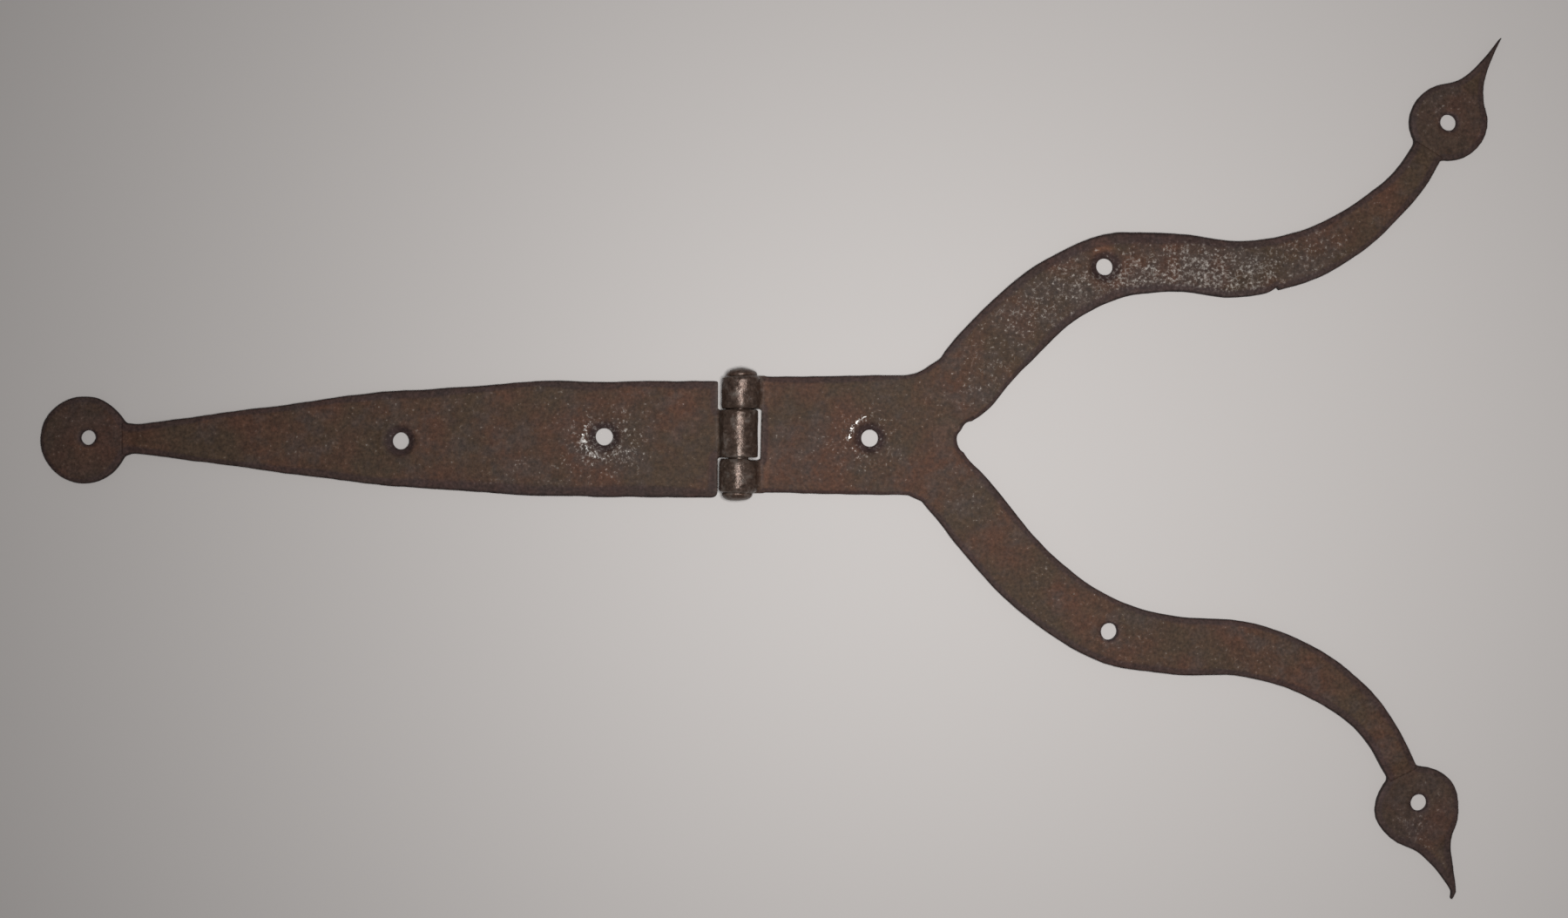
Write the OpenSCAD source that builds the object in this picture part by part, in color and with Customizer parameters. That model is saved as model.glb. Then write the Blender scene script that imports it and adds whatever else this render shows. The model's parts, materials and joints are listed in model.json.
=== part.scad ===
// Hand-forged ram's-horn strap hinge, lying open and flat with its barrel uppermost.
// The origin is on the mounting plane, under the middle of the pin.
// +Y runs along the pin, the strap leaf lies towards -X and the horned leaf towards +X.

/* [Strap leaf] */
// Distance from the pin's axis to the middle of the end disc
strap_len = 188.1; // [150:0.1:230]
// Width of the strap beside the barrel
strap_w = 33.4; // [28:0.2:42]
// Thickness of the strap
strap_t = 3; // [2:0.1:3.6]
// Distance that the strap's centreline lies below the middle of the barrel
strap_drop = 1.4; // [0:0.1:2]
// Distance from the pin's axis over which the strap keeps its full width
full_len = 57.5; // [30:1:70]
// Distance from the pin's axis to the bend in the strap's taper
bend_at = 102.5; // [80:1:115]
// Width of the strap at that bend
bend_w = 26.8; // [20:0.2:30]
// Width of the strap's neck at the end disc
strap_neck_w = 8; // [5:0.2:11]
// Diameter of the end disc
disc_d = 24.8; // [20:0.2:30]
// Thickness of the end disc
disc_t = 2; // [1.2:0.1:3]

/* [Horned leaf] */
// Width of the leaf's body beside the barrel
body_w = 33.6; // [28:0.2:42]
// Thickness of the body and the horns
horn_t = 3; // [2:0.1:3.6]
// Distance from the pin's axis to the crotch between the horns
crotch_at = 62.4; // [50:0.1:75]
// Distance that the fork's centreline lies below the middle of the barrel
fork_drop = 1.3; // [0:0.1:2]
// Radius of the crotch
crotch_r = 4.4; // [3:0.1:6]
// Distance from the pin's axis to the upper leaf finial, along X
upper_reach = 203.2; // [170:0.2:245]
// Distance from the barrel's middle to the upper leaf finial, along Y
upper_rise = 89.6; // [75:0.2:110]
// Width of the upper horn at its root
upper_w = 20.2; // [16:0.2:24]
// Distance from the pin's axis to the lower leaf finial, along X
lower_reach = 194.7; // [165:0.1:235]
// Distance from the barrel's middle to the lower leaf finial, along Y
lower_rise = 106.9; // [90:0.1:130]
// Width of the lower horn at its root
lower_w = 18.7; // [16:0.2:24]
// Width of each horn where it meets its finial
horn_neck_w = 8.8; // [6:0.2:12]

/* [Leaf finials] */
// Thickness of the finials
finial_t = 2; // [1.2:0.1:3]
// Radius of the upper finial's round lobe
upper_lobe_r = 11.1; // [9:0.1:13.5]
// Radius of the lower finial's round lobe
lower_lobe_r = 11.9; // [9:0.1:14]
// Distance from the middle of the upper lobe to its pointed tip
upper_tip_len = 27.9; // [22:0.1:34]
// Distance from the middle of the lower lobe to its pointed tip
lower_tip_len = 28.9; // [22:0.1:34]
// Direction of the upper tip, in degrees above +X
upper_tip_angle = 56; // [40:1:75]
// Direction of the lower tip, in degrees below +X
lower_tip_angle = 69; // [40:1:85]

/* [Barrel and pin] */
// Diameter of the pin
pin_d = 6.4; // [4.8:0.1:8]
// Radial play of the pin in the eyes
pin_play = 0.08; // [0.02:0.01:0.1]
// Wall of the rolled eyes
eye_wall = 2.2; // [1.6:0.1:2.8]
// Length of the whole barrel
barrel_len = 33.6; // [27:0.2:41]
// Length of the strap's middle eye
middle_len = 13.7; // [10:0.1:17]
// Gap between the middle eye and the upper eye
upper_play = 0.2; // [0.1:0.05:1]
// Gap between the middle eye and the lower eye
lower_play = 0.7; // [0.1:0.05:1]
// Gap between the strap's end and the outer eyes
strap_gap = 0.8; // [0.5:0.1:2]
// Gap between the body's notch and the middle eye
notch_gap = 0.7; // [0.4:0.1:2]
// Open seam where the tail of a rolled eye comes down on its leaf
seam = 0.25; // [0.1:0.05:0.5]
// Diameter of the pin's peened heads
head_d = 8.8; // [8:0.1:10.4]
// Height of the upright rim of a peened head
head_rim = 0.5; // [0.2:0.1:1]
// Height of the dome on that rim
head_dome = 1.7; // [0.8:0.1:3]

/* [Nail holes] */
// Diameter of the nail holes in the strap and the body
strap_hole_d = 5; // [4:0.1:6.5]
// Diameter of the nail holes in the horns and the leaf finials
horn_hole_d = 4.8; // [4:0.1:6.5]
// Diameter of the nail hole in the end disc
disc_hole_d = 4.3; // [3.5:0.1:6]
// Diameter of the punched sink round a hole
sink_d = 9; // [7:0.1:10.5]
// Depth of the punched sink
sink_depth = 1.2; // [0.6:0.1:1.6]
// Distance from the pin's axis to the strap's near hole
near_hole = 38.8; // [20:0.1:50]
// Distance from the pin's axis to the strap's far hole
far_hole = 97.3; // [70:0.1:105]
// Distance from the pin's axis to the body's hole
body_hole = 37.2; // [20:0.1:45]
// Distance along the pin from the barrel's middle to the body's hole, downwards
body_hole_drop = 0.9; // [0:0.1:3]

/* [Hidden] */
$fn = 96;
cut = 1;                                    // how far a cutter runs past what it cuts
curve_steps = 6;                            // points on each stretch of a curve
iron = "#4a3a30";
pin_iron = "#453b36";

bore_r = pin_d / 2 + pin_play;
eye_r = bore_r + eye_wall;
axis_z = eye_r;                             // the eyes' backs are flush with the leaves' backs
strap_end = eye_r + strap_gap;
body_end = eye_r + notch_gap;
middle_low = -middle_len / 2 + (lower_play - upper_play) / 2;
middle_high = middle_low + middle_len;
barrel_half = barrel_len / 2;
outer_chamfer = 0.8;                        // at the free ends of the barrel
inner_chamfer = 0.3;                        // at the eyes' meeting ends

// A horn's run: share of the way from root to finial along X, the same along Y,
// and how full its width is, from 1 at its root width to 0 at its neck width.
root = [crotch_at - 5, 9.5];
upper_run = [
    [0, 0, 1], [0.05, 0.09, 1], [0.133, 0.25, 1], [0.225, 0.397, 0.93], [0.335, 0.49, 0.86],
    [0.46, 0.504, 0.7], [0.585, 0.481, 0.63], [0.705, 0.521, 0.5], [0.815, 0.621, 0.32],
    [0.91, 0.768, 0.08]
];
lower_run = [
    [0, 0, 1], [0.04, 0.07, 1], [0.15, 0.262, 1], [0.25, 0.388, 0.96], [0.365, 0.48, 0.93],
    [0.493, 0.517, 0.78], [0.625, 0.526, 0.68], [0.75, 0.58, 0.52], [0.86, 0.68, 0.28],
    [0.92, 0.775, 0.09]
];
upper_neck_angle = 235;                     // where each horn runs into its lobe
lower_neck_angle = 115;
upper_root = [root.x, root.y - fork_drop];
lower_root = [root.x, -root.y - fork_drop];
upper_end = [upper_reach, upper_rise];
lower_end = [lower_reach, -lower_rise];
upper_hole = station(upper_root, upper_end, [0.324, 0.49]);
lower_hole = station(lower_root, lower_end, [0.352, 0.475]);
disc_at = [-strap_len, -strap_drop - 0.1];
disc_hole_at = disc_at + [1.2, 0.5];
lower_finial_hole = lower_end + [0, 1.2];
shoulder = 1.4;                             // how far a thick neck runs onto its thin round

// The point at the shares s of the way from a to b along X and Y
function station(a, b, s) = [a.x + (b.x - a.x) * s.x, a.y + (b.y - a.y) * s.y];

// A smooth curve through every point of the list, ends included
function curve(points) = [
    for (i = [0 : len(points) - 2], k = [0 : curve_steps - 1])
        between(points, i, k / curve_steps),
    points[len(points) - 1]
];
function between(p, i, t) =
    let (a = p[max(i - 1, 0)], b = p[i], c = p[i + 1], d = p[min(i + 2, len(p) - 1)])
    0.5 * (2 * b + (c - a) * t + (2 * a - 5 * b + 4 * c - d) * t ^ 2
        + (3 * b - a - 3 * c + d) * t ^ 3);

// A cubic curve from a to d, with b and c as its handles
function bezier(a, b, c, d) = [
    for (k = [0 : 2 * curve_steps])
        let (t = k / (2 * curve_steps))
        a * (1 - t) ^ 3 + 3 * b * t * (1 - t) ^ 2 + 3 * c * t ^ 2 * (1 - t) + d * t ^ 3
];
function arc(centre, r, from, to) = [
    for (k = [0 : 4 * curve_steps])
        let (a = from + (to - from) * k / (4 * curve_steps))
        centre + r * [cos(a), sin(a)]
];
function flip(points) = [for (i = [len(points) - 1 : -1 : 0]) [points[i].x, -points[i].y]];
function unit(v) = v / norm(v);

// A flat bar that follows the stations [x, y, width]
module ribbon(stations) {
    last = len(stations) - 1;
    side = [
        for (i = [0 : last])
            let (
                a = stations[max(i - 1, 0)],
                b = stations[min(i + 1, last)],
                along = unit([b.x - a.x, b.y - a.y])
            )
            [-along.y, along.x] * stations[i].z / 2
    ];
    middle = [for (s = stations) [s.x, s.y]];
    polygon(concat(
        [for (i = [0 : last]) middle[i] + side[i]],
        [for (i = [last : -1 : 0]) middle[i] - side[i]]
    ));
}

// The flare where a neck along +X runs into a round of radius r at the origin
module neck_flare(r, neck_w, fillet) {
    reach = sqrt((r + fillet) ^ 2 - (neck_w / 2 + fillet) ^ 2);
    lean = atan2(neck_w / 2 + fillet, reach);
    edge = arc([reach, neck_w / 2 + fillet], fillet, 180 + lean, 270);
    polygon(concat([[0, 0]], edge, flip(edge)));
}

// A round lobe at the origin, drawn out to a point along +X
module leaf_outline(lobe_r, tip_len, waist, lean) {
    leave = 40;                             // where the sides leave the lobe
    out = [cos(leave), sin(leave)];
    sides = [
        for (s = [1, -1])
            bezier(
                lobe_r * [out.x, s * out.y],
                lobe_r * [out.x + out.y / 2, s * (out.y - out.x / 2)],
                [tip_len * 0.6, lean + s * waist],
                [tip_len, lean / 2]
            )
    ];
    polygon(concat(
        arc([0, 0], lobe_r, leave, 360 - leave),
        sides[1],
        [for (i = [len(sides[0]) - 1 : -1 : 0]) sides[0][i]]
    ));
}

module along_pin(y) {
    translate([0, y, axis_z])
        rotate([-90, 0, 0])
            children();
}

// The outside of an eye between two places on the pin, chamfered at both ends
module eye_solid(from, to, from_chamfer, to_chamfer) {
    length = to - from;
    along_pin(from)
        rotate_extrude()
            polygon([
                [0, 0], [eye_r - from_chamfer, 0], [eye_r, from_chamfer],
                [eye_r, length - to_chamfer], [eye_r - to_chamfer, length], [0, length]
            ]);
}

// An eye rolled up from a leaf that lies towards side * X, without its bore.
// The strip runs under the pin, round its far side and over it, down to the leaf.
module rolled_eye(side, leaf_t, from, to, from_chamfer, to_chamfer) {
    strip = (side > 0 ? body_end : strap_end) + cut;
    difference() {
        union() {
            eye_solid(from, to, from_chamfer, to_chamfer);
            translate([side > 0 ? 0 : -strip, from, 0])
                cube([strip, to - from, leaf_t]);
        }
        translate([side > 0 ? 0 : -eye_r - cut, from - cut, leaf_t])
            cube([eye_r + cut, to - from + 2 * cut, seam]);
    }
}

module pin_bore() {
    along_pin(-barrel_half - cut)
        cylinder(r = bore_r, h = barrel_len + 2 * cut);
}

// A round nail hole through a leaf, with or without a punched sink
module nail_hole(at, d, leaf_t, sunk = false) {
    translate([at.x, at.y, -cut])
        cylinder(d = d, h = leaf_t + 2 * cut);
    if (sunk)
        translate([at.x, at.y, leaf_t - sink_depth])
            cylinder(d1 = d, d2 = sink_d, h = sink_depth);
}

module strap_outline() {
    neck_at = strap_len - disc_d / 2 - 2;
    ribbon([
        [-strap_end, -strap_drop, strap_w],
        [-full_len, -strap_drop + 0.2, strap_w - 0.6],
        [-bend_at, -strap_drop + 0.2, bend_w],
        [-neck_at, -strap_drop + 0.1, strap_neck_w],
        [-strap_len + disc_d / 2 - shoulder, -strap_drop, strap_neck_w]
    ]);
}

module strap_leaf() {
    color(iron)
    difference() {
        union() {
            linear_extrude(strap_t)
                strap_outline();
            linear_extrude(disc_t)
                translate(disc_at) {
                    circle(d = disc_d);
                    neck_flare(disc_d / 2, strap_neck_w, 2);
                }
            rolled_eye(-1, strap_t, middle_low, middle_high, inner_chamfer, inner_chamfer);
        }
        pin_bore();
        nail_hole([-near_hole, -0.7], strap_hole_d, strap_t, true);
        nail_hole([-far_hole, -1.8], strap_hole_d, strap_t, true);
        nail_hole(disc_hole_at, disc_hole_d, disc_t);
    }
}

// A horn from its root into the lobe at its end, which it meets at an angle
module horn(from, to, run, root_w, neck_angle, lobe_r) {
    neck = to + (lobe_r - shoulder) * [cos(neck_angle), sin(neck_angle)];
    ribbon(curve(concat(
        [
            for (s = run)
                concat(station(from, to, s), horn_neck_w + (root_w - horn_neck_w) * s.z)
        ],
        [[neck.x, neck.y, horn_neck_w]]
    )));
}

// The body between the barrel and the horns, easing out into their roots
module body_outline() {
    half = body_w / 2;
    polygon([
        [body_end, half - 0.2], [crotch_at - 15, half + 0.2], [crotch_at - 10, half + 1.2],
        [crotch_at + 2, half + 6], [crotch_at + 2, -half - 8], [crotch_at - 9.5, -half - 2.8],
        [crotch_at - 14, -half - 0.6], [body_end, -half + 0.2]
    ]);
}

module leaf_finial(at, angle, neck_angle, lobe_r, tip_len, waist, lean) {
    translate(at) {
        rotate(angle)
            leaf_outline(lobe_r, tip_len, waist, lean);
        rotate(neck_angle)
            neck_flare(lobe_r, horn_neck_w, 2);
    }
}

module horned_leaf() {
    color(iron)
    difference() {
        union() {
            linear_extrude(horn_t)
                difference() {
                    union() {
                        body_outline();
                        horn(
                            upper_root, upper_end, upper_run, upper_w,
                            upper_neck_angle, upper_lobe_r
                        );
                        horn(
                            lower_root, lower_end, lower_run, lower_w,
                            lower_neck_angle, lower_lobe_r
                        );
                    }
                    translate([crotch_at + crotch_r, -fork_drop])
                        circle(r = crotch_r);
                }
            linear_extrude(finial_t) {
                leaf_finial(
                    upper_end, upper_tip_angle, upper_neck_angle,
                    upper_lobe_r, upper_tip_len, 1.3, 1
                );
                leaf_finial(
                    lower_end, -lower_tip_angle, lower_neck_angle,
                    lower_lobe_r, lower_tip_len, 2.8, 1.4
                );
            }
            rolled_eye(1, horn_t, middle_high + upper_play, barrel_half, inner_chamfer, outer_chamfer);
            rolled_eye(1, horn_t, -barrel_half, middle_low - lower_play, outer_chamfer, inner_chamfer);
        }
        pin_bore();
        nail_hole([body_hole, -body_hole_drop], strap_hole_d, horn_t, true);
        nail_hole(upper_hole, horn_hole_d, horn_t, true);
        nail_hole(lower_hole, horn_hole_d, horn_t);
        nail_hole(upper_end, horn_hole_d, finial_t);
        nail_hole(lower_finial_hole, horn_hole_d, finial_t);
    }
}

// A peened head standing along +Z on the end of the pin
module peened_head() {
    dome_r = (head_d ^ 2 / 4 + head_dome ^ 2) / (2 * head_dome);
    cylinder(d = head_d, h = head_rim);
    intersection() {
        translate([0, 0, head_rim + head_dome - dome_r])
            sphere(r = dome_r);
        translate([0, 0, head_rim])
            cylinder(d = head_d, h = head_dome);
    }
}

module hinge_pin() {
    color(pin_iron) {
        along_pin(-barrel_half)
            cylinder(d = pin_d, h = barrel_len);
        along_pin(barrel_half)
            peened_head();
        along_pin(-barrel_half)
            mirror([0, 0, 1])
                peened_head();
    }
}

strap_leaf();
horned_leaf();
hinge_pin();
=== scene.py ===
# Looks of a hand-forged ram's-horn strap hinge, built round its CAD frame.

import json
import math

import bmesh
import bpy
import numpy as np
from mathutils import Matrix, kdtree


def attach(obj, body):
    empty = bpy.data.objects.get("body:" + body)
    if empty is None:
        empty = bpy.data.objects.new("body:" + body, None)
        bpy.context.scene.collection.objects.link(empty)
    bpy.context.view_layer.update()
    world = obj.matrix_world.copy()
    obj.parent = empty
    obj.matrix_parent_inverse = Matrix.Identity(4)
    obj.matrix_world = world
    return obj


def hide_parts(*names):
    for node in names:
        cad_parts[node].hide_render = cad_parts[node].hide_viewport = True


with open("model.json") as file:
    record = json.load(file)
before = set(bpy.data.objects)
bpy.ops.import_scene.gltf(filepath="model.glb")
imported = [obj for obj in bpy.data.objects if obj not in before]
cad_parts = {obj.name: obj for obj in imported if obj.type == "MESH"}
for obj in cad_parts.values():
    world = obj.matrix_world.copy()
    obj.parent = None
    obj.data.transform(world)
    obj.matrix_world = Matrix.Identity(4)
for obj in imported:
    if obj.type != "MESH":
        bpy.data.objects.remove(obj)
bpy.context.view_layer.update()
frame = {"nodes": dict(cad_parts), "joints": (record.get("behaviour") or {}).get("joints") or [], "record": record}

MM = 0.001  # everything below is in millimetres until it reaches a mesh
AXIS_Z = frame["joints"][0]["pos_m"][2] / MM
EYE_R = AXIS_Z  # the eyes' backs are flush with the leaves' backs
EYE_WALL = 2.2
BORE_R = EYE_R - EYE_WALL
BARREL_HALF = 16.8  # half the length of the three eyes together
MIDDLE = 7.2  # the middle eye's ends are about this far from the middle of the barrel
PIN_OUT = 1  # anything this far past the eyes is still treated as barrel
STRAP_T, HORN_T = 3.0, 3.0
ROUND_T = 2.0  # end disc and leaf finials
DISC = (-188.1, -1.5)  # the middles of the three round ends, in plan
UPPER_FINIAL = (203.2, 89.6)
LOWER_FINIAL = (194.7, -106.9)
LEAN = 0.036  # the outer eyes and the pin lean this much to the right going up
STRAP_CELL, HORN_CELL = 0.42, 0.48  # sizes of the small faces on the two leaves
THINNEST = 0.7  # what bevels and pits leave of a leaf at the least
HOLLOW_FILL = 0.75  # how much iron fills the corner between an eye and its leaf
BURR_R, BURR_WIDE = 5.9, 0.9  # where the painted glint on each burr lies: its distance from the middle of its hole, and its width
MOST_PITTED = 1.4  # how pitted the roughest face is, where 1 is well pitted
DISHED = 1.9  # a nail hole with a bore shorter than this is dished on its front
DISH_IN, DISH_OUT = 3.4, 5.4  # where the flank of such a dish starts and ends, from the middle

# Each nail hole: its place in plan, its radius, and whether it is dished
HOLES = [
    (m["pos_m"][0] / MM, m["pos_m"][1] / MM, m["dims"]["r_mm"], m["dims"]["length_mm"] < DISHED)
    for m in frame["record"]["mounts"]
    if m["kind"] == "bore"
]


# ---------------------------------------------------------------- fields over points in mm


def ease(value, low, high):
    """0 below low, 1 above high, and a smooth climb between."""
    t = np.clip((value - low) / (high - low), 0, 1)
    return t * t * (3 - 2 * t)


def swells(points, size, seed):
    """Smooth random swells from -1 to 1, about size mm across."""
    table = np.random.default_rng(seed).uniform(-1, 1, (32, 32, 32))
    cell = np.floor(points / size).astype(int)
    t = points / size - cell
    t = t * t * (3 - 2 * t)
    total = np.zeros(len(points))
    for corner in np.ndindex(2, 2, 2):
        i = (cell + corner) % 32
        weight = np.where(np.array(corner) == 1, t, 1 - t).prod(axis=1)
        total += weight * table[i[:, 0], i[:, 1], i[:, 2]]
    return total


def craters(points, size, share, seed):
    """Round pits, 1 at the middle of a pit and 0 outside, in a share of the cells of size mm."""
    rng = np.random.default_rng(seed)
    middle = rng.uniform(0.25, 0.75, (32, 32, 32, 3))
    reach = rng.uniform(0.2, 0.5, (32, 32, 32))
    reach[rng.uniform(0, 1, (32, 32, 32)) > share] = 1e-3
    cell = np.floor(points / size).astype(int)
    deepest = np.zeros(len(points))
    for step in np.ndindex(3, 3, 3):
        c = cell + np.array(step) - 1
        i = c % 32
        i = (i[:, 0], i[:, 1], i[:, 2])
        away = np.linalg.norm(points / size - c - middle[i], axis=1) / reach[i]
        deepest = np.maximum(deepest, np.clip(1 - away**2, 0, 1))
    return deepest


def near(points, place, reach):
    """1 at a place in plan, falling away smoothly over reach mm."""
    return np.exp(-((points[:, 0] - place[0]) ** 2 + (points[:, 1] - place[1]) ** 2) / reach**2)


def plan_distance(points, place):
    return np.hypot(points[:, 0] - place[0], points[:, 1] - place[1])


# ---------------------------------------------------------------- meshes


def fine_skin(node, name, cell):
    """A closed skin of small faces over a CAD node, ready for the hammer."""
    piece = bpy.data.objects.new(name, frame["nodes"][node].data.copy())
    bpy.context.collection.objects.link(piece)
    remesh = piece.modifiers.new("skin", "REMESH")
    remesh.mode = "VOXEL"
    remesh.voxel_size = cell * MM
    settle = piece.modifiers.new("settle", "SHRINKWRAP")
    settle.target = frame["nodes"][node]
    settle.wrap_method = "NEAREST_SURFACEPOINT"
    soften = piece.modifiers.new("soften", "SMOOTH")
    soften.factor = 0.5
    soften.iterations = 2
    graph = bpy.context.evaluated_depsgraph_get()
    skin = bpy.data.meshes.new_from_object(piece.evaluated_get(graph))
    piece.modifiers.clear()
    piece.data = skin
    skin.materials.clear()
    return piece


def read_points(mesh):
    points = np.empty(len(mesh.vertices) * 3)
    mesh.vertices.foreach_get("co", points)
    normals = np.empty(len(mesh.vertices) * 3, np.float32)
    mesh.vertices.foreach_get("normal", normals)
    return points.reshape(-1, 3) / MM, normals.reshape(-1, 3).astype(float)


def write_points(mesh, points):
    mesh.vertices.foreach_set("co", (points * MM).astype(np.float32).ravel())
    mesh.polygons.foreach_set("use_smooth", np.ones(len(mesh.polygons), bool))
    mesh.update()


def paint(mesh, name, values):
    """Stores a value from 0 to 1 at each point, for a material to read."""
    layer = mesh.attributes.new(name, "FLOAT", "POINT")
    layer.data.foreach_set("value", np.clip(values, 0, 1).astype(np.float32))


def edge_distance(node, points):
    """Distance in plan from each point to the outer wall of a CAD node, nail holes left out."""
    mesh = bmesh.new()
    mesh.from_mesh(frame["nodes"][node].data)
    bmesh.ops.remove_doubles(mesh, verts=mesh.verts, dist=1e-6)
    foot = []
    for edge in mesh.edges:
        a, b = (v.co / MM for v in edge.verts)
        facing = [face.normal.z for face in edge.link_faces]
        if max(a.z, b.z) > 0.02 or min(facing) > -0.9 or max(facing) < -0.5:
            continue
        if any(math.hypot(a.x - x, a.y - y) < r + 0.3 for x, y, r, _ in HOLES):
            continue
        steps = max(int((b - a).length / 0.2), 1)
        foot += [a.lerp(b, k / steps) for k in range(steps)]
    mesh.free()
    tree = kdtree.KDTree(len(foot))
    for i, p in enumerate(foot):
        tree.insert((p.x, p.y, 0), i)
    tree.balance()
    return np.array([tree.find((x, y, 0))[2] for x, y in points[:, :2]])


def bevel_edges(flat, edge, broad_bevels, seed):
    """Bevels where the hammer dressed the edges, broader in some places than in others: how far
    across the bevel each point is, 1 at the very edge, and how deep the bevel is there."""
    width = 1.9 + 0.8 * swells(flat, 15, seed + 1)
    depth = 0.42 + 0.22 * swells(flat, 11, seed + 2)
    for place, reach, wider, deeper in broad_bevels:
        amount = near(flat, place, reach)
        width += wider * amount
        depth += deeper * amount
    width = np.maximum(width, 0.7)
    depth = np.maximum(depth, 0.12)
    slope = np.clip(1 - edge / width, 0, 1)
    return slope, depth * slope * (0.55 + 0.45 * slope)


def pit_face(flat, slope, rough_places, seed):
    """How pitted the face is from place to place, and how deep its pits are."""
    rough = 0.22 + 0.2 * swells(flat, 18, seed + 3)
    for place, reach, amount in rough_places:
        rough += amount * near(flat, place, reach)
    rough = np.clip(rough, 0.04, MOST_PITTED)
    pits = craters(flat, 1.7, 0.55, seed + 4) * 0.11 + craters(flat, 3.1, 0.3, seed + 5) * 0.1
    return rough, pits * rough * (1 - 0.8 * slope)


def hammer_blows(flat, rough, seed):
    """The face's height above flat: broad hammer swells with finer ones where it is pitted."""
    face = 0.17 * swells(flat, 21, seed + 6)
    face += 0.1 * swells(flat, 8, seed + 7)
    face += 0.045 * swells(flat, 3, seed + 8) * (0.5 + rough)
    face += 0.03 * swells(flat, 1.3, seed + 9) * (0.3 + rough)
    return face


def draw_down(flat, full, rounds):
    """The neck is drawn down towards each round end, and leaves only a low shoulder there: how the
    face rises or sinks for that, and where the round ends are."""
    face = np.zeros(len(flat))
    round_end = np.zeros(len(flat))
    on_finial = (full == ROUND_T) * (plan_distance(flat, DISC) > 60)
    for place, radius in rounds:
        past = plan_distance(flat, place) - (radius - 1.4)
        neck = (past > -0.5) & (full > ROUND_T)
        face -= 0.72 * np.exp(-((past / 4.5) ** 2)) * neck
        face += 0.1 * np.exp(-((past / 2.5) ** 2)) * on_finial
        round_end = np.maximum(round_end, 1 - ease(past, -1, 3))
    return face, round_end


def punch_holes(flat, burr_shine, seed):
    """Round each nail hole the face is dished and a low burr is thrown up: how the face rises or
    sinks for that, where painted shade darkens the dish, and where a painted glint lies on the burr,
    brightest on one side."""
    x, y, _ = flat.T
    face = np.zeros(len(x))
    dish_shade = np.zeros(len(x))
    burr_glint = np.zeros(len(x))
    for hx, hy, radius, dished in HOLES:
        away = plan_distance(flat, (hx, hy))
        bright, side = burr_shine.get((round(hx, 1), round(hy, 1)), (0, 200))
        side = math.radians(side)
        along = math.cos(side) * (x - hx) + math.sin(side) * (y - hy)
        glint_side = 0.5 + 0.5 * along / np.maximum(away, 0.1)
        rim = DISH_OUT if dished else radius + 1.5
        ring = np.exp(-(((away - rim) / 0.8) ** 2))
        face += ring * (0.1 + 0.08 * swells(flat, 3, seed + 10) + 0.15 * glint_side) * (1 if dished else 0.3)
        flank = 1.6 if dished else 0.9
        face -= np.exp(-((np.maximum(away - radius, 0) / flank) ** 2)) * (0.2 if dished else 0.22)
        inner, outer = (DISH_IN, DISH_OUT) if dished else (radius, radius + 1.2)
        dish_shade = np.maximum(dish_shade, 1 - ease(away, inner, outer))
        # The painted glint on the burr: a crescent brightest on one side, and a faint scatter round it
        crescent = np.exp(-(((away - BURR_R) / BURR_WIDE) ** 2)) * glint_side**2
        scatter = 0.1 * np.exp(-((np.maximum(away - 6.0, 0) / 7) ** 2)) * (away > 5)
        burr_glint = np.maximum(burr_glint, bright * np.maximum(crescent, scatter))
    return face, dish_shade, burr_glint


def wander(points, normals, dents, calm, seed):
    """Plan places after the edges wander a little, as edges dressed by eye do, and take their dents."""
    x, y, _ = points.T
    flat = np.column_stack([x, y, np.zeros(len(x))])
    drift_x = 0.2 * swells(flat, 13, seed + 12) + 0.09 * swells(flat, 4.5, seed + 13)
    drift_y = 0.2 * swells(flat, 13, seed + 14) + 0.09 * swells(flat, 4.5, seed + 15)
    wall = (1 - ease(abs(normals[:, 2]), 0.3, 0.8)) * (0.05 * swells(points, 2.6, seed + 16))
    new_x = x + calm * (drift_x + wall * normals[:, 0])
    new_y = y + calm * (drift_y + wall * normals[:, 1])
    for (px, py), (left, right, deep), (push_x, push_y) in dents:
        across = np.where(x < px, left, right)
        amount = np.exp(-(((x - px) / across) ** 2) - ((y - py) / deep) ** 2)
        new_x += push_x * amount
        new_y += push_y * amount
    return new_x, new_y


def eye_hollow(points, edge, in_barrel):
    """1 in the soft hollow where an eye runs into its own leaf, and 0 away from it."""
    x, y, z = points.T
    corner = math.sqrt(EYE_R**2 - (STRAP_T - AXIS_Z) ** 2)
    toward = np.sign(x) * np.where(abs(y) < MIDDLE, -1, 1)
    hollow = np.exp(-(((abs(x) - corner) / 1.5) ** 2)) * (toward > 0) * (z > 2.2)
    return hollow * in_barrel * ease(edge, 0.1, 1.6)


def rolled_eye(points, from_axis, on_barrel, seed):
    """Places round the axis of the rolled eyes, smoother than the leaf, with a few pits and flats."""
    x, y, z = points.T
    outside = on_barrel * ease(from_axis, BORE_R + 0.7, EYE_R - 0.5)
    swell = 0.12 * swells(points, 5, seed + 17) + 0.07 * swells(points, 2, seed + 18) - 0.08
    swell -= 0.1 * craters(points, 1.8, 0.4, seed + 19)
    swell -= 0.75 * ease(abs(y), BARREL_HALF - 1.1, BARREL_HALF) ** 2 * ease(-x, -3, 1)
    swell -= 0.16 * ease(-abs(abs(y) - MIDDLE - 0.3), -0.9, -0.2)
    grow = 1 + outside * swell / np.maximum(from_axis, 1)
    return x * grow, AXIS_Z + (z - AXIS_Z) * grow


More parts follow.
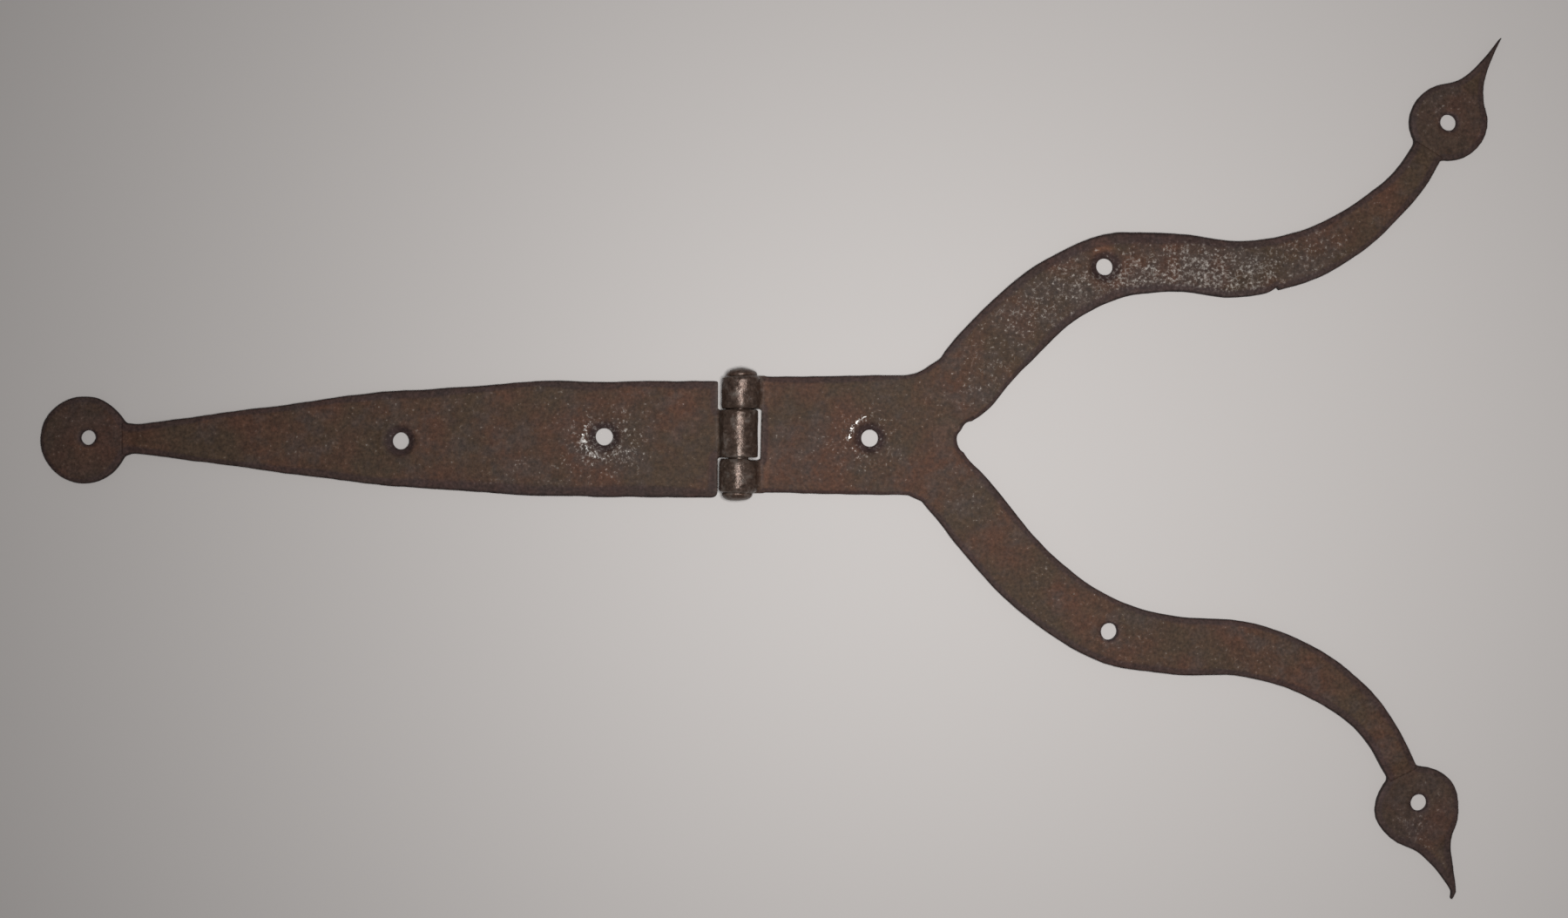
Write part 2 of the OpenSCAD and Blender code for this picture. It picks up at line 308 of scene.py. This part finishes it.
def hammer_leaf(
    piece, node, thickness, rounds, lean, broad_bevels, rough_places, rust_places, burr_shine, dents, seed
):
    """Gives a leaf its forged surface, and paints on it what the iron's finish follows."""
    mesh = piece.data
    points, normals = read_points(mesh)
    x, y, z = points.T
    flat = np.column_stack([x, y, np.zeros(len(x))])
    from_axis = np.hypot(x, z - AXIS_Z)
    in_barrel = abs(y) < BARREL_HALF + PIN_OUT
    on_barrel = (1 - ease(from_axis, EYE_R + 0.5, EYE_R + 2)) * in_barrel
    on_leaf = 1 - on_barrel
    edge = edge_distance(node, points)

    # The leaf's own thickness here, and how far up it a point is
    full = np.full(len(x), thickness)
    for place, radius in rounds:
        full[(plan_distance(points, place) < radius + 3) & (z < ROUND_T + 0.25)] = ROUND_T
    height = np.clip(z / full, 0, 1.05)

    # The front and the back, and the edges between them
    slope, bevel = bevel_edges(flat, edge, broad_bevels, seed)
    rough, pits = pit_face(flat, slope, rough_places, seed)
    ends, round_end = draw_down(flat, full, rounds)
    holes, dish_shade, burr_glint = punch_holes(flat, burr_shine, seed)
    front = full - bevel + hammer_blows(flat, rough, seed) + ends + holes - pits
    back = 0.1 + 0.1 * swells(flat, 12, seed + 11) + 0.25 * np.clip(1 - edge / 1.2, 0, 1)
    new_z = back * (1 - height) + np.maximum(front, THINNEST) * height
    calm = on_leaf * ease(from_axis, EYE_R + 1, EYE_R + 9)
    new_x, new_y = wander(points, normals, dents, calm, seed)

    # The eyes, and the hollow where each one runs into its leaf
    hollow = eye_hollow(points, edge, in_barrel)
    new_z += HOLLOW_FILL * hollow * (0.8 + 0.4 * swells(points, 3, seed + 20)) * on_leaf
    eye_x, eye_z = rolled_eye(points, from_axis, on_barrel, seed)
    eye_z += HOLLOW_FILL * hollow * on_barrel
    new_x = new_x * on_leaf + eye_x * on_barrel
    new_z = new_z * on_leaf + eye_z * on_barrel
    if lean:
        new_x += LEAN * y * (1 - ease(x, 4, 10)) * in_barrel
        # The lower eye is swaged up close under the middle one, but for its right-hand corner
        new_y += 0.36 * on_barrel * ease(-abs(y + MIDDLE + 0.1), -0.8, -0.2) * ease(-x, -3.6, -2.2)
    write_points(mesh, np.column_stack([new_x, new_y, np.maximum(new_z, 0)]))

    rust_and_rim_highlight = 0.25 * np.exp(-(((from_axis - EYE_R - 2.5) / 1.8) ** 2)) * in_barrel
    for place, reach, amount in rust_places:
        rust_and_rim_highlight = np.maximum(rust_and_rim_highlight, amount * near(points, place, reach))
    # The bevel value drives the painted shade on the edges; the round ends get a little of it all over
    paint(mesh, "bevel", np.maximum(slope, 0.13 * round_end) * on_leaf)
    paint(mesh, "eye", (1 - ease(from_axis, EYE_R - 0.2, EYE_R + 2.6)) * in_barrel)
    paint(mesh, "rough", rough / MOST_PITTED)
    paint(mesh, "rust_and_rim_highlight", rust_and_rim_highlight)
    # Painted shade in the dishes round the nail holes
    paint(mesh, "dish_shade", dish_shade)
    paint(mesh, "burr_glint", burr_glint * ease(height, 0.5, 0.8))  # painted glint on the burrs, on the front only


def peened_pin():
    """A lathe-round rod with both ends hammered over into low, uneven heads."""
    rim, dome, head_r, shaft_r = 0.35, 1.8, 4.35, 2.9
    side = [(0.0, BARREL_HALF + rim + dome)]
    for k in range(1, 15):
        a = k / 14 * math.pi / 2
        side.append((head_r * math.sin(a), BARREL_HALF + rim + dome * math.cos(a)))
    side += [(head_r, BARREL_HALF + 0.15), (head_r - 0.2, BARREL_HALF - 0.25)]
    side += [(shaft_r, BARREL_HALF - 0.25), (shaft_r, BARREL_HALF - 4), (shaft_r, 6)]
    side += [(r, -h) for r, h in reversed(side)]
    mesh = bmesh.new()
    turns = 72
    rings = []
    for r, h in side:
        if r == 0:
            rings.append([mesh.verts.new((0, h, AXIS_Z))])
            continue
        turn = [2 * math.pi * k / turns for k in range(turns)]
        rings.append([mesh.verts.new((r * math.cos(a), h, AXIS_Z + r * math.sin(a))) for a in turn])
    for one, two in zip(rings, rings[1:]):
        for k in range(turns):
            near_side = [one[k % len(one)], one[(k + 1) % len(one)]]
            far_side = [two[(k + 1) % len(two)], two[k % len(two)]]
            mesh.faces.new(list(dict.fromkeys(near_side + far_side)))
    bmesh.ops.recalc_face_normals(mesh, faces=mesh.faces)
    bmesh.ops.subdivide_edges(
        mesh, edges=[e for e in mesh.edges if e.calc_length() > 3], cuts=3, use_grid_fill=True
    )
    data = bpy.data.meshes.new("pin")
    mesh.to_mesh(data)
    mesh.free()
    piece = bpy.data.objects.new("peened_pin", data)
    bpy.context.collection.objects.link(piece)
    points = np.empty(len(data.vertices) * 3)
    data.vertices.foreach_get("co", points)
    points = points.reshape(-1, 3)
    x, y, z = points.T
    on_head = ease(abs(y), BARREL_HALF - 0.1, BARREL_HALF + 0.4)
    blows = 0.12 * swells(points, 3.1, 71) + 0.06 * swells(points, 1.4, 72)
    out = 1 + on_head * 0.2 * swells(points, 3.6, 73) / head_r
    new_x = x * out + LEAN * y
    new_z = AXIS_Z + (z - AXIS_Z) * out
    new_y = y + np.sign(y) * on_head * (blows - 0.08)
    write_points(data, np.column_stack([new_x, new_y, new_z]))
    paint(data, "bevel", np.zeros(len(x)))
    paint(data, "eye", np.ones(len(x)))
    paint(data, "rough", np.full(len(x), 0.2))
    # A paler ring under each head in the rust colour: painted highlight where the rims catch the light
    paint(data, "rust_and_rim_highlight", 0.5 * ease(-abs(abs(y) - BARREL_HALF - 0.3), -0.6, -0.1))
    paint(data, "dish_shade", np.zeros(len(x)))
    paint(data, "burr_glint", np.zeros(len(x)))
    return piece


# ---------------------------------------------------------------- materials


# Sizes in mm of the patterns in the iron's skin. Real grit is about 0.1 to 0.3 mm and the curls of
# bare metal are about 0.1 mm wide, too fine to show, so grit is drawn at 0.9 mm, the pocks at
# 1.2 mm and the curls 0.3 mm wide.
PATCHES = (  # size, detail and roughness of the clouds, blotches, mottling and grit
    (19, 3, 0.6),
    (6.8, 4, 0.6),
    (2.6, 4, 0.65),
    (0.9, 3, 0.6),
)
STRAY, STRAY_BY = 1.8, 1.1  # the pits stray from a neat net over this size, by this much
RIM_CELL, POCK_CELL, GLINT_BEAD_SIZE = 1.5, 1.2, 1.5
RELIEF = 0.18  # how far the fine relief stands up

COLOUR = {"data_type": "RGBA"}
SHADE = {"data_type": "RGBA", "blend_type": "MULTIPLY"}
MULTIPLY = {"operation": "MULTIPLY"}
MULTIPLY_ADD = {"operation": "MULTIPLY_ADD"}


def linear(hex_colour):
    """An sRGB hex colour as the linear values that Blender works in."""
    parts = [int(hex_colour[i : i + 2], 16) / 255 for i in (1, 3, 5)]
    return [c / 12.92 if c <= 0.04045 else ((c + 0.055) / 1.055) ** 2.4 for c in parts] + [1]


def add(tree, kind, settings, sockets):
    """Adds a node, sets its options, fills or links its sockets, and returns its live output."""
    made = tree.nodes.new(kind)
    for name, value in settings.items():
        setattr(made, name, value)
    for key, value in sockets.items():
        if isinstance(key, int):
            socket = made.inputs[key]
        else:
            socket = next(s for s in made.inputs if s.enabled and s.name == key)
        if isinstance(value, bpy.types.NodeSocket):
            tree.links.new(value, socket)
        else:
            socket.default_value = value
    return next((o for o in made.outputs if o.enabled), None)


def new_material(name):
    material = bpy.data.materials.new(name)
    material.use_nodes = True
    material.node_tree.nodes.clear()
    return material, material.node_tree


def rust_tones(tree, painted, cloud, blotch, mottle, grit, colours):
    """The colour of the rust-browned skin: brown, with its other colours laid over it one by one.
    Among them are painted shade on the bevels, a thin painted shadow along the very edges, painted
    shade in the dishes round the nail holes, and on the pin a paler painted highlight under each head.
    """
    red = add(tree, "ShaderNodeMapRange", {}, {"Value": cloud, "From Min": 0.42, "From Max": 0.62})
    grey = add(tree, "ShaderNodeMath", MULTIPLY_ADD, {0: painted["rough"], 1: 0.2, 2: blotch})
    grey = add(
        tree, "ShaderNodeMapRange", {}, {"Value": grey, "From Min": 0.52, "From Max": 0.72, "To Max": 0.75}
    )
    orange = add(tree, "ShaderNodeMath", {"operation": "ADD"}, {0: painted["rust_and_rim_highlight"], 1: blotch})
    orange = add(
        tree, "ShaderNodeMapRange", {}, {"Value": orange, "From Min": 0.66, "From Max": 1.1, "To Max": 0.85}
    )
    # Painted shade: the bevels turn darker and purplish, where they slope away from the lamp
    edge = add(tree, "ShaderNodeMapRange", {}, {"Value": painted["bevel"], "From Max": 0.32, "To Max": 0.68})
    # Painted shadow: a thin dark line along the very edges
    edge_line_shadow = add(
        tree,
        "ShaderNodeMapRange",
        {},
        {"Value": painted["bevel"], "From Min": 0.76, "From Max": 0.98, "To Max": 0.75},
    )
    # Painted shade in the dishes round the nail holes
    shade_in_dish = add(tree, "ShaderNodeMath", MULTIPLY, {0: painted["dish_shade"], 1: 0.85})
    rub = add(tree, "ShaderNodeMath", MULTIPLY, {0: painted["eye"], 1: 0.8})
    layers = (
        (red, "red_rust"),
        (grey, "grey_scale"),
        (orange, "orange_rust"),
        (edge, "painted_shade"),
        (edge_line_shadow, "painted_shadow_colour"),
        (shade_in_dish, "painted_shade"),
        (rub, "rubbed"),
    )
    tone = colours["brown"]
    for amount, colour in layers:
        tone = add(tree, "ShaderNodeMix", COLOUR, {"Factor": amount, "A": tone, "B": colours[colour]})

    # Grit and mottling make all of it darker and lighter
    for pattern, low, high, dark in ((grit, 0.32, 0.68, 0.66), (mottle, 0.3, 0.7, 0.76)):
        shade = {"Value": pattern, "From Min": low, "From Max": high, "To Min": dark, "To Max": 2 - dark}
        shade = add(tree, "ShaderNodeMapRange", {}, shade)
        tone = add(tree, "ShaderNodeMix", SHADE, {"Factor": 1.0, "A": tone, "B": shade})
    return tone


def bare_flecks(tree, painted, at, stray, mottle, grit):
    """Where bare metal shows, in a pale colour that paints its glints as well: in broken curls along
    the rims of the pits, in points of grit and on the rubbed eyes. On the burrs thrown up by the punch
    the glints are painted as near-white beads."""
    rims = add(
        tree,
        "ShaderNodeTexVoronoi",
        {"feature": "DISTANCE_TO_EDGE"},
        {"Vector": stray, "Scale": 1 / (RIM_CELL * MM)},
    )
    curl = add(tree, "ShaderNodeMapRange", {}, {"Value": rims, "From Min": 0.1, "From Max": 0.0})
    spread = {"Value": painted["rough"], "From Min": 0.05, "From Max": 0.8, "To Min": 0.68, "To Max": 0.48}
    spread = add(tree, "ShaderNodeMapRange", {}, spread)
    # Flecks, and with them painted glints, come more readily on the burrs
    fleck_threshold = add(tree, "ShaderNodeMath", MULTIPLY_ADD, {0: painted["burr_glint"], 1: -0.12, 2: spread})
    over = add(tree, "ShaderNodeMath", {"operation": "SUBTRACT"}, {0: mottle, 1: fleck_threshold})
    over = add(tree, "ShaderNodeMapRange", {}, {"Value": over, "From Max": 0.2})
    curl = add(tree, "ShaderNodeMath", MULTIPLY, {0: curl, 1: over})
    point = add(tree, "ShaderNodeMath", {"operation": "SUBTRACT"}, {0: grit, 1: spread})
    point = add(tree, "ShaderNodeMapRange", {}, {"Value": point, "From Min": 0.02, "From Max": 0.2})
    fleck = add(tree, "ShaderNodeMath", {"operation": "MAXIMUM"}, {0: curl, 1: point})

    # The dressed edges are plain
    plain = {"Value": painted["bevel"], "From Max": 0.45, "To Min": 0.8, "To Max": 0.05}
    plain = add(tree, "ShaderNodeMapRange", {}, plain)
    fleck = add(tree, "ShaderNodeMath", MULTIPLY, {0: fleck, 1: plain})
    worn = {"Value": mottle, "From Min": 0.52, "From Max": 0.72, "To Max": 0.25}
    worn = add(tree, "ShaderNodeMapRange", {}, worn)
    worn = add(tree, "ShaderNodeMath", MULTIPLY, {0: worn, 1: painted["eye"]})
    fleck = add(tree, "ShaderNodeMath", {"operation": "MAXIMUM"}, {0: fleck, 1: worn})

    # Painted glints on the burrs: beads and short curls about 1 mm long
    glint_bead = {"Vector": at, "Scale": 1 / (GLINT_BEAD_SIZE * MM), "Detail": 1, "Distortion": 1.4}
    glint_bead = add(tree, "ShaderNodeTexNoise", {}, glint_bead)
    need = {"Value": painted["burr_glint"], "From Min": 0.1, "From Max": 0.9, "To Min": 1.0, "To Max": 0.46}
    need = add(tree, "ShaderNodeMapRange", {}, need)
    glint_bead = add(tree, "ShaderNodeMath", {"operation": "SUBTRACT"}, {0: glint_bead, 1: need})
    glint_bead = add(tree, "ShaderNodeMapRange", {}, {"Value": glint_bead, "From Max": 0.09})
    return fleck, glint_bead


def skin_relief(tree, painted, stray, mottle, grit):
    """The fine relief of the skin: grit, mottling, and small pocks where the face is pitted."""
    pocks = add(tree, "ShaderNodeTexVoronoi", {}, {"Vector": stray, "Scale": 1 / (POCK_CELL * MM)})
    height = add(tree, "ShaderNodeMath", MULTIPLY_ADD, {0: grit, 1: 0.5, 2: mottle})
    pock = {"Value": pocks, "From Max": 0.4, "To Min": -0.7, "To Max": 0.0}
    pock = add(tree, "ShaderNodeMapRange", {}, pock)
    pock = add(tree, "ShaderNodeMath", MULTIPLY, {0: pock, 1: painted["rough"]})
    height = add(tree, "ShaderNodeMath", {"operation": "ADD"}, {0: height, 1: pock})
    return add(tree, "ShaderNodeBump", {}, {"Strength": 1.0, "Distance": RELIEF * MM, "Height": height})


def browned_wrought_iron(name, colours):
    """Forged wrought iron, rust-browned and oiled: a dull brown skin of old rust mottled with red
    and grey, painted shade on the dressed edges, silvery curls of bare metal on the rims of the pits,
    pale enough to paint their glints too, painted glints on the burrs, and a broken shine on the
    rubbed eyes."""
    material, tree = new_material(name)
    at = add(tree, "ShaderNodeTexCoord", {}, {}).node.outputs["Object"]
    painted = {
        part: add(tree, "ShaderNodeAttribute", {"attribute_name": part}, {}).node.outputs["Fac"]
        for part in ("bevel", "eye", "rough", "rust_and_rim_highlight", "dish_shade", "burr_glint")
    }
    cloud, blotch, mottle, grit = (
        add(
            tree,
            "ShaderNodeTexNoise",
            {},
            {"Vector": at, "Scale": 1 / (size * MM), "Detail": detail, "Roughness": roughness},
        )
        for size, detail, roughness in PATCHES
    )
    stray = add(tree, "ShaderNodeTexNoise", {}, {"Vector": at, "Scale": 1 / (STRAY * MM), "Detail": 2})
    stray = {0: stray.node.outputs["Color"], 1: (STRAY_BY * MM,) * 3, 2: at}
    stray = add(tree, "ShaderNodeVectorMath", MULTIPLY_ADD, stray)

    tone = rust_tones(tree, painted, cloud, blotch, mottle, grit, colours)
    fleck, glint_bead = bare_flecks(tree, painted, at, stray, mottle, grit)
    # Painted glints: on the burrs the flecks go from the bare-metal colour to near white
    glint = add(tree, "ShaderNodeMapRange", {}, {"Value": painted["burr_glint"], "To Max": 2.2})
    fleck_and_glint_tone = {"Factor": glint, "A": colours["bare_metal_and_glint"], "B": colours["bright"]}
    fleck_and_glint_tone = add(tree, "ShaderNodeMix", COLOUR, fleck_and_glint_tone)
    tone = add(tree, "ShaderNodeMix", COLOUR, {"Factor": fleck, "A": tone, "B": fleck_and_glint_tone})
    # Painted glints: near-white beads on the burrs
    tone = add(tree, "ShaderNodeMix", COLOUR, {"Factor": glint_bead, "A": tone, "B": colours["bright"]})
    fleck = add(tree, "ShaderNodeMath", {"operation": "MAXIMUM"}, {0: fleck, 1: glint_bead})

    # Dull all over, but for the rubbed eyes and the bare metal
    dull = {"Value": mottle, "From Min": 0.3, "From Max": 0.7, "To Min": 0.62, "To Max": 0.78}
    dull = add(tree, "ShaderNodeMapRange", {}, dull)
    shine = add(tree, "ShaderNodeMapRange", {}, {"Value": painted["eye"], "To Max": 0.37})
    dull = add(tree, "ShaderNodeMath", {"operation": "SUBTRACT"}, {0: dull, 1: shine})
    gloss = add(tree, "ShaderNodeMath", MULTIPLY, {0: fleck, 1: 0.2})
    dull = add(tree, "ShaderNodeMath", {"operation": "SUBTRACT"}, {0: dull, 1: gloss})
    metal = add(tree, "ShaderNodeMath", MULTIPLY, {0: fleck, 1: 0.7})
    polish = add(tree, "ShaderNodeMath", MULTIPLY, {0: painted["eye"], 1: 0.38})
    metal = add(tree, "ShaderNodeMath", {"operation": "MAXIMUM"}, {0: metal, 1: polish})

    finish = {"Base Color": tone, "Metallic": metal, "Roughness": dull, "Specular IOR Level": 0.2}
    finish["Normal"] = skin_relief(tree, painted, stray, mottle, grit)
    shader = add(tree, "ShaderNodeBsdfPrincipled", {}, finish)
    add(tree, "ShaderNodeOutputMaterial", {}, {"Surface": shader})
    return material


def laminate_board():
    """Plain pale laminate board for the table: no pattern, and a faint wide sheen under the lamp."""
    material, tree = new_material("pale laminate board")
    shader = add(
        tree,
        "ShaderNodeBsdfPrincipled",
        {},
        {"Base Color": linear("#BFBAB7"), "Roughness": 0.55, "Specular IOR Level": 0.3},
    )
    add(tree, "ShaderNodeOutputMaterial", {}, {"Surface": shader})
    return material


# ---------------------------------------------------------------- the hinge

iron_colours = dict(
    brown=linear("#443529"),
    red_rust=linear("#4E3529"),
    orange_rust=linear("#64422F"),
    grey_scale=linear("#463B36"),
    # Painted shade for the bevels and the dishes, and the thin painted shadow along the edges
    painted_shade=linear("#372A2A"),
    painted_shadow_colour=linear("#1C1515"),
    rubbed=linear("#4A3D36"),
    # The bare metal's pale colour, which paints its glints too
    bare_metal_and_glint=linear("#A59F98"),
    # The near white of the painted glints on the burrs
    bright=linear("#F1EEE8"),
)
strap_iron = browned_wrought_iron("browned wrought iron, strap", iron_colours)
horn_iron = browned_wrought_iron("browned wrought iron, horns", iron_colours)
pin_iron = browned_wrought_iron("rubbed wrought iron, pin", iron_colours)

strap = fine_skin("strap_leaf", "forged_strap", STRAP_CELL)
hammer_leaf(
    strap, "strap_leaf", STRAP_T,
    rounds=[(DISC, 12.4)], lean=False,
    broad_bevels=[((-30, -17), 24, 2.2, 0.4), ((-70, -17), 24, 1.4, 0.25), ((-120, 10), 40, 0.4, 0.05)],
    rough_places=[((-44, -3), 9, 0.45), ((-33, -1), 10, 0.4), ((-62, -4), 16, 0.2)],
    rust_places=[((-188, -4), 8, 0.35), ((-52, 2), 6, 0.15), ((-12, 2), 7, 0.12)],
    burr_shine={(-38.8, -0.7): (1.0, 195), (-97.3, -1.8): (0.35, 180)},
    dents=[
        ((-6.2, 16.9), (1.2, 1.2, 1.2), (-0.5, -0.5)), ((-6.2, -18.1), (1.2, 1.2, 1.2), (-0.4, 0.4)),
        ((-176, 3.2), (3, 3, 2.5), (0, 0.6)), ((-176, -5.5), (3, 3, 2.5), (0, -0.4)),
    ],
    seed=100,
)
strap.data.materials.append(strap_iron)
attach(strap, "strap")
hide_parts("strap_leaf")

horns = fine_skin("horned_leaf", "forged_horns", HORN_CELL)
hammer_leaf(
    horns, "horned_leaf", HORN_T,
    rounds=[(UPPER_FINIAL, 11.1), (LOWER_FINIAL, 11.9)], lean=True,
    broad_bevels=[((118, 58), 22, 1.9, 0.3), ((90, 50), 16, 1.2, 0.2), ((160, 60), 20, 0.8, 0.1)],
    rough_places=[
        ((38, -1), 10, 0.55), ((25, -3), 8, 0.2), ((112, 46), 11, 0.7), ((133, 47), 15, 0.8),
        ((152, 47), 12, 0.5), ((168, 53), 10, 0.35), ((94, 42), 12, 0.4), ((80, 31), 13, 0.45),
        ((68, 14), 12, 0.35), ((66, -18), 12, 0.3), ((118, -52), 9, 0.2),
        ((200, 96), 7, 0.35), ((193, -114), 6, 0.4),
    ],
    rust_places=[
        ((104, 53), 4.5, 0.6), ((58, 2), 7, 0.16), ((204, 81), 6, 0.3), ((80, 30), 8, 0.08),
        ((130, -57), 10, 0.1),
    ],
    burr_shine={(37.2, -0.9): (1.0, 150)},
    dents=[
        ((53.2, 18.8), (2, 2.2, 2.6), (-0.1, 0.75)), ((57.4, 22), (1.8, 1.8, 2), (0.3, -0.3)),
        ((66, -7.5), (4.5, 5, 4.5), (-1.0, 0.2)), ((66, 3.6), (2.6, 2.6, 2.6), (0, 0.75)),
        ((62.4, 1.8), (1.6, 1.6, 1.6), (0.6, -0.3)), ((72.2, 8.8), (4, 4, 4), (0.3, -0.4)),
        ((153.9, 41.8), (1.8, 0.4, 2.2), (0, 1.1)),
        ((218.2, 112.8), (4, 4, 5), (0.5, 1.3)), ((182, -108.3), (5, 5, 5), (-0.6, -0.5)),
        ((206.8, -107), (5, 5, 5), (-0.7, 0)), ((205, -133.4), (1.5, 1.5, 1.6), (-1.4, -0.3)),
    ],
    seed=200,
)
horns.data.materials.append(horn_iron)
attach(horns, "horned")
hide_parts("horned_leaf")

pin = peened_pin()
pin.data.materials.append(pin_iron)
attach(pin, "horned")
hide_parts("hinge_pin")

# ---------------------------------------------------------------- table, light and camera

REACH, UNDER = 20, -0.0001  # metres: wide enough to fill any view, and just under the leaves
table = bpy.data.meshes.new("table")
corners = [(-REACH, -REACH, UNDER), (REACH, -REACH, UNDER), (REACH, REACH, UNDER), (-REACH, REACH, UNDER)]
table.from_pydata(corners, [], [(0, 1, 2, 3)])
table = bpy.data.objects.new("table", table)
bpy.context.collection.objects.link(table)
table.data.materials.append(laminate_board())


def soft_lamp(name, place, size, watts, tilt):
    """A round soft lamp that faces down, tilted to the right by tilt degrees."""
    data = bpy.data.lights.new(name, "AREA")
    data.shape = "DISK"
    data.size = size
    data.energy = watts
    lamp = bpy.data.objects.new(name, data)
    bpy.context.collection.objects.link(lamp)
    lamp.location = place
    lamp.rotation_euler = (0, -math.radians(tilt), 0)


soft_lamp("lamp over the table", place=(0.04, -0.01, 0.45), size=0.1, watts=2.05, tilt=15)

world = bpy.data.worlds.new("room")
bpy.context.scene.world = world
world.use_nodes = True
world.node_tree.nodes["Background"].inputs["Color"].default_value = linear("#F2F3F6")
world.node_tree.nodes["Background"].inputs["Strength"].default_value = 0.1

FILM = 36  # the camera's film is this wide
SEEN_WIDTH = 448.3  # of the leaves' faces, across the view
HEIGHT = 520.0
ABOVE = (12.7, -7.0)  # the point in plan that the camera hangs over
camera_data = bpy.data.cameras.new("camera")
camera_data.sensor_fit = "HORIZONTAL"
camera_data.sensor_width = FILM
camera_data.lens = FILM * (HEIGHT - STRAP_T) / SEEN_WIDTH
camera_data.clip_start, camera_data.clip_end = 0.01, 10
camera = bpy.data.objects.new("camera", camera_data)
bpy.context.collection.objects.link(camera)
camera.location = (ABOVE[0] * MM, ABOVE[1] * MM, HEIGHT * MM)
bpy.context.scene.camera = camera
bpy.context.scene.view_settings.view_transform = "Standard"
